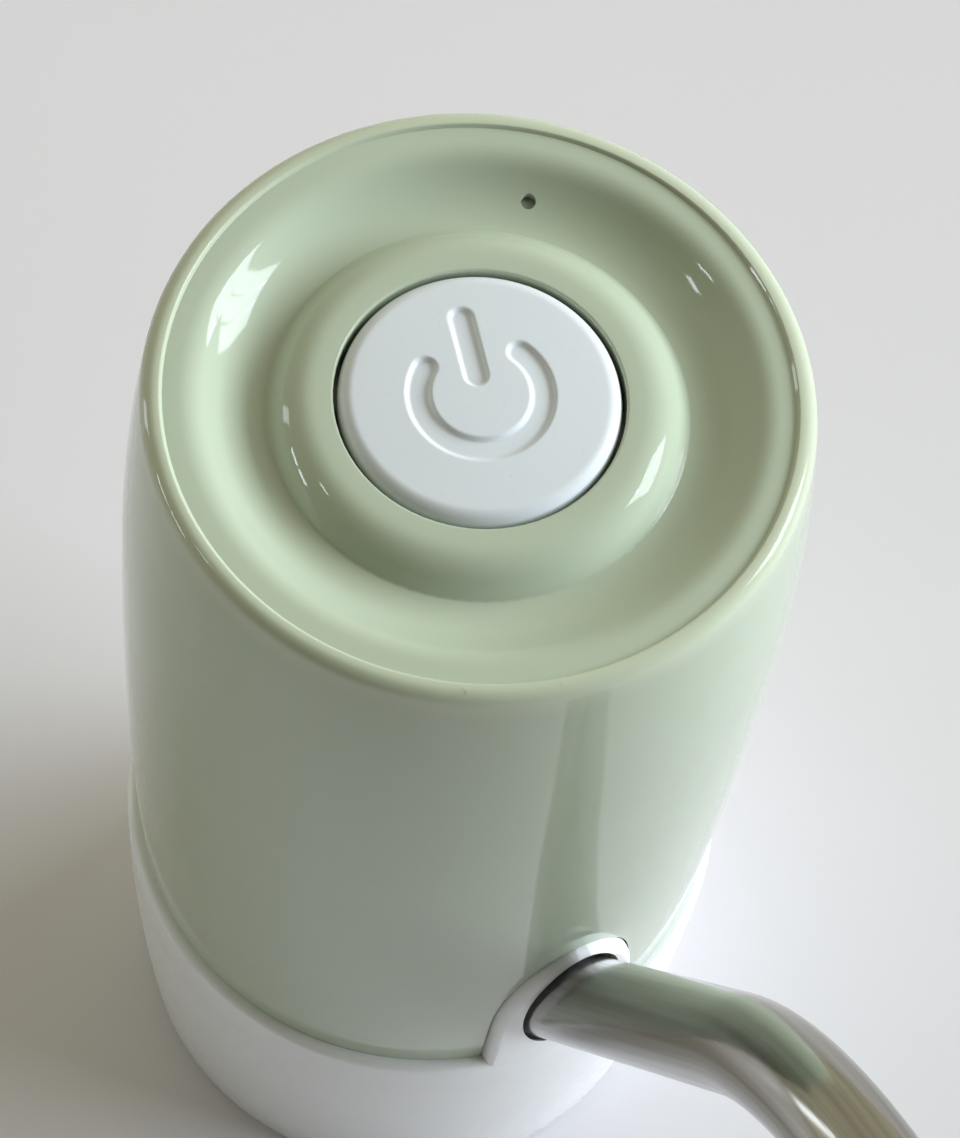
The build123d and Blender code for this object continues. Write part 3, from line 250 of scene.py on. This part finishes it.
# One material for each slot of the record
GREEN = (0.475, 0.545, 0.42)
# Painted reflection: the paler green that the rim bead is painted with
RIM_REFLECTION_GREEN = (0.54, 0.597, 0.455)
WHITE = (0.72, 0.765, 0.80)
BASE_WHITE = (0.885, 0.905, 0.925)
looks = {
    "shell_green": surface(
        "sage_gloss", GREEN, rough=0.06, spread=0.01, shade=0.012,
        grain=900.0, bump=0.008, skin=0.08, ior=1.65),
    "base_white": surface(
        "white_gloss", BASE_WHITE, rough=0.20, shade=0.012, grain=900.0, bump=0.012, skin=0.08),
    "button_white": surface(
        "white_satin", WHITE, rough=0.30, shade=0.012, grain=2200.0, bump=0.03, skin=0.08),
    "spout_steel": drawn_metal("drawn_steel", (0.40, 0.39, 0.365), rough=0.15),
    "bush_black": surface(
        "bush_plastic", (0.07, 0.07, 0.066), rough=0.5, spread=0.06, shade=0.08),
    "rubber_grey": surface(
        "grey_rubber", (0.26, 0.26, 0.25), rough=0.7, spread=0.08, shade=0.06,
        grain=1900.0, bump=0.10),
    "rubber_black": surface(
        "black_rubber", (0.035, 0.035, 0.035), rough=0.72, spread=0.08, shade=0.10,
        grain=1900.0, bump=0.10),
    "hose_clear": surface(
        "silicone_hose", (0.82, 0.84, 0.84), rough=0.30, spread=0.05, shade=0.02,
        clear=0.55, ior=1.41),
    "inner_white": surface(
        "plain_white_moulding", (0.72, 0.72, 0.69), rough=0.45, spread=0.05),
    "inner_black": surface(
        "plain_black_moulding", (0.05, 0.05, 0.05), rough=0.48, spread=0.05, shade=0.08),
    "zinc_steel": surface(
        "zinc_plate", (0.58, 0.58, 0.56), rough=0.36, spread=0.07, shade=0.06,
        metal=1.0, grain=2600.0),
    "shaft_steel": surface(
        "ground_steel", (0.66, 0.66, 0.66), rough=0.20, spread=0.05, shade=0.04,
        metal=1.0, grain=3000.0),
    "magnet": surface(
        "sintered_magnet", (0.12, 0.12, 0.125), rough=0.62, spread=0.08, shade=0.15,
        grain=2600.0, bump=0.12),
    "rotor": surface(
        "laminated_core", (0.36, 0.22, 0.13), rough=0.42, spread=0.08, shade=0.12,
        metal=0.8, grain=800.0, stretch=(1.0, 1.0, 12.0), bump=0.2),
    "cell_wrap": surface(
        "cell_sleeve", (0.13, 0.30, 0.52), rough=0.28, spread=0.05, shade=0.05),
    "nickel": surface(
        "nickel_strip", (0.70, 0.67, 0.61), rough=0.28, spread=0.06, shade=0.05,
        metal=1.0, grain=2600.0),
    "wire_red": surface(
        "wire_jacket", (0.50, 0.04, 0.035), rough=0.42, spread=0.05, shade=0.06),
    "board_green": surface(
        "solder_mask", (0.03, 0.19, 0.08), rough=0.34, spread=0.06, shade=0.12, grain=1700.0),
    "chip_black": surface(
        "chip_moulding", (0.03, 0.03, 0.03), rough=0.55, spread=0.06, shade=0.10, grain=2400.0),
    "lamp_clear": surface(
        "lamp_lens", (0.30, 0.34, 0.28), rough=0.18, spread=0.04, shade=0.04,
        clear=0.35, ior=1.49),
}
# Painted reflection on the rim bead of the casing
painted_rim_reflection(looks["shell_green"], RIM_REFLECTION_GREEN)
slot_of = {row["node"]: row["material_slot"] for row in frame["record"]["subparts"]}
for node, thing in frame["nodes"].items():
    if len(thing.material_slots) == 0:
        thing.data.materials.append(None)
    for place in thing.material_slots:
        place.material = looks[slot_of[node]]


# Shading normals of the turned walls and of the spout follow the true round surface, not its facets
TURN_SPREAD = 0.15
TURN_STEP = math.radians(18.0)
RING_STEP = 1e-6
TUBE_FACING = 0.85
LEAST_REACH = 1e-9
LEAST_AREA = 1e-18
LEAST_WEIGHT = 1e-6


def corner_data(mesh):
    """Coordinates and face normals of all face corners."""
    places = np.empty(len(mesh.vertices) * 3)
    mesh.vertices.foreach_get("co", places)
    picks = np.empty(len(mesh.loops), dtype=np.int64)
    mesh.loops.foreach_get("vertex_index", picks)
    spans = np.empty(len(mesh.polygons), dtype=np.int64)
    mesh.polygons.foreach_get("loop_total", spans)
    normals = np.empty(len(mesh.polygons) * 3)
    mesh.polygons.foreach_get("normal", normals)
    corners = places.reshape(-1, 3)[picks]
    faces = np.repeat(normals.reshape(-1, 3), spans, axis=0)
    return corners, faces


def corner_angles(corners):
    """Angle of each corner in its triangle."""
    triangles = corners.reshape(-1, 3, 3)
    after = np.roll(triangles, -1, axis=1) - triangles
    before = np.roll(triangles, 1, axis=1) - triangles
    lengths = np.linalg.norm(after, axis=2) * np.linalg.norm(before, axis=2)
    cosines = (after * before).sum(axis=2) / np.maximum(lengths, LEAST_AREA)
    return np.arccos(np.clip(cosines, -1.0, 1.0)).reshape(-1)


def given_normals(mesh):
    """Normals that the face corners have so far."""
    given = np.empty(len(mesh.loops) * 3)
    mesh.corner_normals.foreach_get("vector", given)
    return given.reshape(-1, 3)


def set_normals(mesh, normals):
    """Smooth shading with the given normals at the face corners."""
    for face in mesh.polygons:
        face.use_smooth = True
    mesh.normals_split_custom_set([tuple(row) for row in normals])


def turned_normals(thing):
    """Corners on one circle round the axis share one slope, so highlights run evenly round it."""
    corners, faces = corner_data(thing.data)
    angles = corner_angles(corners)
    made = given_normals(thing.data)
    reach = np.hypot(corners[:, 0], corners[:, 1])
    outward = np.zeros_like(corners)
    outward[:, :2] = corners[:, :2] / np.maximum(reach, LEAST_REACH)[:, None]
    across = faces[:, 1] * outward[:, 0] - faces[:, 0] * outward[:, 1]
    slopes = np.arctan2(faces[:, 2], (faces * outward).sum(axis=1))
    turned = np.abs(across) < TURN_SPREAD
    rings = {}
    for index in np.nonzero(turned)[0]:
        key = (round(reach[index] / RING_STEP), round(corners[index, 2] / RING_STEP))
        rings.setdefault(key, []).append(index)
    for members in rings.values():
        order = np.array(members)[np.argsort(slopes[members])]
        breaks = np.nonzero(np.diff(slopes[order]) > TURN_STEP)[0] + 1
        for group in np.split(order, breaks):
            slope = np.average(slopes[group], weights=angles[group] + LEAST_WEIGHT)
            made[group] = outward[group] * math.cos(slope)
            made[group, 2] = math.sin(slope)
    set_normals(thing.data, made)


def tube_normals(thing):
    """Corners of the tube point away from its middle line, and know their place along and around it."""
    corners, faces = corner_data(thing.data)
    along = np.array((math.cos(SPOUT_ANGLE), 0.0, math.sin(SPOUT_ANGLE)))
    down = np.array((math.sin(SPOUT_ANGLE), 0.0, -math.cos(SPOUT_ANGLE)))
    bend_start = SPOUT_START + along * SPOUT_RUN
    centre = bend_start + down * SPOUT_BEND
    tail_angle = SPOUT_ANGLE - SPOUT_TURN
    tail = np.array((math.cos(tail_angle), 0.0, math.sin(tail_angle)))
    bend_end = centre + SPOUT_BEND * np.array((-tail[2], 0.0, tail[0]))
    nearest = np.empty_like(corners)
    way = np.empty_like(corners)
    for index, place in enumerate(corners):
        ahead = (place - bend_start) @ along
        beyond = (place - bend_end) @ tail
        if ahead <= 0:
            nearest[index] = bend_start + ahead * along
            out = -down
            way[index, 0] = ahead
        elif beyond >= 0 and place[0] > centre[0]:
            nearest[index] = bend_end + beyond * tail
            out = (bend_end - centre) / SPOUT_BEND
            way[index, 0] = SPOUT_TURN * SPOUT_BEND + beyond
        else:
            arm = (place - centre) * np.array((1.0, 0.0, 1.0))
            out = arm / np.linalg.norm(arm)
            nearest[index] = centre + out * SPOUT_BEND
            way[index, 0] = math.acos(min(1.0, max(-1.0, -(out @ down)))) * SPOUT_BEND
        way[index, 1] = (place - nearest[index]) @ out
        way[index, 2] = place[1]
    held = thing.data.attributes.new(DRAWN_WAY, "FLOAT_VECTOR", "CORNER")
    held.data.foreach_set("vector", way.reshape(-1))
    away = corners - nearest
    away /= np.linalg.norm(away, axis=1)[:, None]
    facing = (away * faces).sum(axis=1)
    on_wall = (np.abs(facing) > TUBE_FACING)[:, None]
    set_normals(thing.data, np.where(on_wall, away * np.sign(facing)[:, None], faces))


turned_normals(frame["nodes"]["upper_shell"])
turned_normals(frame["nodes"]["base_shell"])
tube_normals(frame["nodes"]["spout_tube"])


def sign_distance(x, y):
    """Distance from the middle line of the power sign: a ring, and a bar through its open side."""
    turn = math.radians(SIGN_TURN)
    along = x * math.cos(turn) + y * math.sin(turn)
    across = -x * math.sin(turn) + y * math.cos(turn)
    nearest = min(max(along, SIGN_BAR_START), SIGN_BAR_END)
    to_bar = math.hypot(along - nearest, across)
    half_open = math.radians(SIGN_RING_OPEN)
    bearing = abs(math.atan2(across, along))
    if bearing >= half_open:
        to_ring = abs(math.hypot(along, across) - SIGN_RING_RADIUS)
    else:
        end_x = SIGN_RING_RADIUS * math.cos(half_open)
        end_y = SIGN_RING_RADIUS * math.sin(half_open)
        to_ring = math.hypot(along - end_x, abs(across) - end_y)
    return min(to_bar, to_ring)


def button_height(x, y):
    """Height of the button's face over its edge: a low crown with the sign sunk into it."""
    reach = math.hypot(x, y)
    crown = BUTTON_CROWN * (1 - (reach / BUTTON_RADIUS) ** 2)
    if reach > SIGN_FIELD_RADIUS:
        return crown
    share = (SIGN_HALF_WIDTH + SIGN_WALL / 2 - sign_distance(x, y)) / SIGN_WALL
    share = min(max(share, 0.0), 1.0)
    return crown - SIGN_DEPTH * share * share * (3 - 2 * share)


def button_rings():
    """Radius and height of the cap's rings, from the face's middle out and round to the underside.

    A ring without a height follows the face.
    """
    rings = []
    radius = SIGN_FIELD_START
    while radius < SIGN_FIELD_RADIUS:
        rings.append((radius, None))
        radius += SIGN_FIELD_STEP
    round_start = BUTTON_RADIUS - BUTTON_EDGE_ROUND
    plain = round_start - SIGN_FIELD_RADIUS
    for step in range(BUTTON_PLAIN_STEPS):
        rings.append((SIGN_FIELD_RADIUS + plain * step / BUTTON_PLAIN_STEPS, None))
    round_top = CASING_HEIGHT + button_height(round_start, 0.0)
    for step in range(BUTTON_ROUND_STEPS + 1):
        angle = math.pi / 2 * step / BUTTON_ROUND_STEPS
        rings.append((
            round_start + BUTTON_EDGE_ROUND * math.sin(angle),
            round_top - BUTTON_EDGE_ROUND * (1 - math.cos(angle)),
        ))
    skirt = CASING_HEIGHT - BUTTON_SKIRT
    under = CASING_HEIGHT - BUTTON_WALL
    inner = BUTTON_RADIUS - BUTTON_WALL
    rings += [
        (BUTTON_RADIUS, skirt + BUTTON_SKIRT_EDGE),
        (BUTTON_RADIUS - BUTTON_SKIRT_EDGE, skirt),
        (inner + BUTTON_SKIRT_EDGE, skirt),
        (inner, skirt + BUTTON_SKIRT_EDGE),
        (inner, under - BUTTON_SKIRT_EDGE),
        (inner - BUTTON_SKIRT_EDGE, under),
        (inner / 2, under),
    ]
    return rings


def make_button():
    """The button's cap as one closed mesh: face with the sign, rounded edge, skirt and underside."""
    rings = button_rings()
    points = [(0.0, 0.0, CASING_HEIGHT + button_height(0.0, 0.0))]
    for radius, height in rings:
        for step in range(BUTTON_SEGMENTS):
            angle = 2 * math.pi * step / BUTTON_SEGMENTS
            x = radius * math.cos(angle)
            y = radius * math.sin(angle)
            points.append((x, y, CASING_HEIGHT + button_height(x, y) if height is None else height))
    points.append((0.0, 0.0, CASING_HEIGHT - BUTTON_WALL))
    faces = []
    last = len(points) - 1
    innermost = 1 + (len(rings) - 1) * BUTTON_SEGMENTS
    for step in range(BUTTON_SEGMENTS):
        after = (step + 1) % BUTTON_SEGMENTS
        faces.append((0, 1 + step, 1 + after))
        for ring in range(len(rings) - 1):
            low = 1 + ring * BUTTON_SEGMENTS
            high = low + BUTTON_SEGMENTS
            faces.append((low + step, high + step, high + after, low + after))
        faces.append((innermost + step, last, innermost + after))
    mesh = bpy.data.meshes.new("button_with_sign")
    mesh.from_pydata(points, [], faces)
    mesh.validate()
    mesh.shade_smooth()
    mesh.materials.append(looks["button_white"])
    made = bpy.data.objects.new("button_with_sign", mesh)
    bpy.context.scene.collection.objects.link(made)
    return made


button = make_button()
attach(button, "button")
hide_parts("button_cap")

# Pale table top
FLOOR_HALF = 20.0
FLOOR_PAINT = (0.742, 0.719, 0.741)
FLOOR_CORNERS = ((-1, -1), (1, -1), (1, 1), (-1, 1))
floor_mesh = bpy.data.meshes.new("table_top")
floor_points = [(x * FLOOR_HALF, y * FLOOR_HALF, 0.0) for x, y in FLOOR_CORNERS]
floor_mesh.from_pydata(floor_points, [], [(0, 1, 2, 3)])
floor_mesh.materials.append(surface(
    "table_paint", FLOOR_PAINT, rough=0.36, shade=0.01, blotch=9.0, grain=500.0, bump=0.004))
floor = bpy.data.objects.new("table_top", floor_mesh)
bpy.context.scene.collection.objects.link(floor)

# World: a pale warm room that is darker on one side
ROOM_COLOUR = (1.0, 0.945, 0.68)
ROOM_STRENGTH = 0.54
ROOM_DARK_SIDE = (0.70, -0.50, 0.51)
ROOM_DARK_SHARE = 0.10
world = bpy.data.worlds.new("room")
bpy.context.scene.world = world
world.use_nodes = True
room_tree = world.node_tree
room = room_tree.nodes["Background"]
room.inputs["Color"].default_value = (*ROOM_COLOUR, 1.0)
room_place = node_of(room_tree, "ShaderNodeTexCoord").outputs["Generated"]
room_side = node_of(room_tree, "ShaderNodeVectorMath", operation="DOT_PRODUCT")
room_side.inputs[1].default_value = ROOM_DARK_SIDE
room_tree.links.new(room_place, room_side.inputs[0])
room_level = fade_of(
    room_tree, room_side.outputs["Value"], low=0.0, high=1.0,
    start=ROOM_STRENGTH, end=ROOM_STRENGTH * ROOM_DARK_SHARE)
room_tree.links.new(room_level, room.inputs["Strength"])

# Lamps: daylight through the panes of a window on one side, and small far panes on the other
DAYLIGHT = (0.825, 0.905, 1.0)
LAMP_AIM = (0.0, 0.0, 0.09)
WINDOW_FAR = 5.0
SMALL_PANE_FAR = 1.4
WINDOW_PANES = {"left": 82.0, "middle": 74.2, "right": 66.4}
FAR_PANES = {"left": -114.5, "right": -123.5}


def lamp(name, azimuth, elevation, distance, width, height, power):
    """A soft rectangular light that faces the object from the given bearing."""
    data = bpy.data.lights.new(name, "AREA")
    data.shape = "RECTANGLE"
    data.size = width
    data.size_y = height
    data.energy = power
    data.color = DAYLIGHT
    turn = math.radians(azimuth)
    lift = math.radians(elevation)
    level = math.cos(lift)
    away = Vector((math.cos(turn) * level, math.sin(turn) * level, math.sin(lift)))
    made = bpy.data.objects.new(name, data)
    made.location = Vector(LAMP_AIM) + away * distance
    made.rotation_euler = away.to_track_quat("Z", "Y").to_euler()
    bpy.context.scene.collection.objects.link(made)
    return made


for pane, bearing in WINDOW_PANES.items():
    lamp("window_pane_" + pane, bearing, elevation=36.0, distance=WINDOW_FAR,
         width=0.555, height=1.95, power=19.0)
low_sky = lamp("low_sky", 72.0, elevation=20.0, distance=WINDOW_FAR,
               width=6.0, height=1.5, power=430.0)
low_sky.visible_glossy = False
for pane, bearing in FAR_PANES.items():
    lamp("far_pane_" + pane, bearing, elevation=17.5, distance=SMALL_PANE_FAR,
         width=0.17, height=0.10, power=0.42)
lamp("roof_pane", -114.0, elevation=47.0, distance=SMALL_PANE_FAR,
     width=0.12, height=0.07, power=0.2)
lamp("back_window", -140.0, elevation=12.5, distance=SMALL_PANE_FAR,
     width=0.146, height=0.54, power=0.8)

camera_data = bpy.data.cameras.new("camera")
camera_data.sensor_fit = "HORIZONTAL"
camera_data.sensor_width = SENSOR_WIDTH
camera_data.lens = CAMERA_LENS
camera_data.clip_start = CAMERA_NEAR
camera = bpy.data.objects.new("camera", camera_data)
bpy.context.scene.collection.objects.link(camera)
sight = Vector(CAMERA_AIM) - Vector(CAMERA_PLACE)
facing = sight.to_track_quat("-Z", "Y").to_matrix().to_4x4()
roll = Matrix.Rotation(math.radians(CAMERA_ROLL), 4, "Z")
camera.matrix_world = Matrix.Translation(Vector(CAMERA_PLACE)) @ (facing @ roll)
bpy.context.scene.camera = camera
bpy.context.scene.view_settings.view_transform = "Standard"
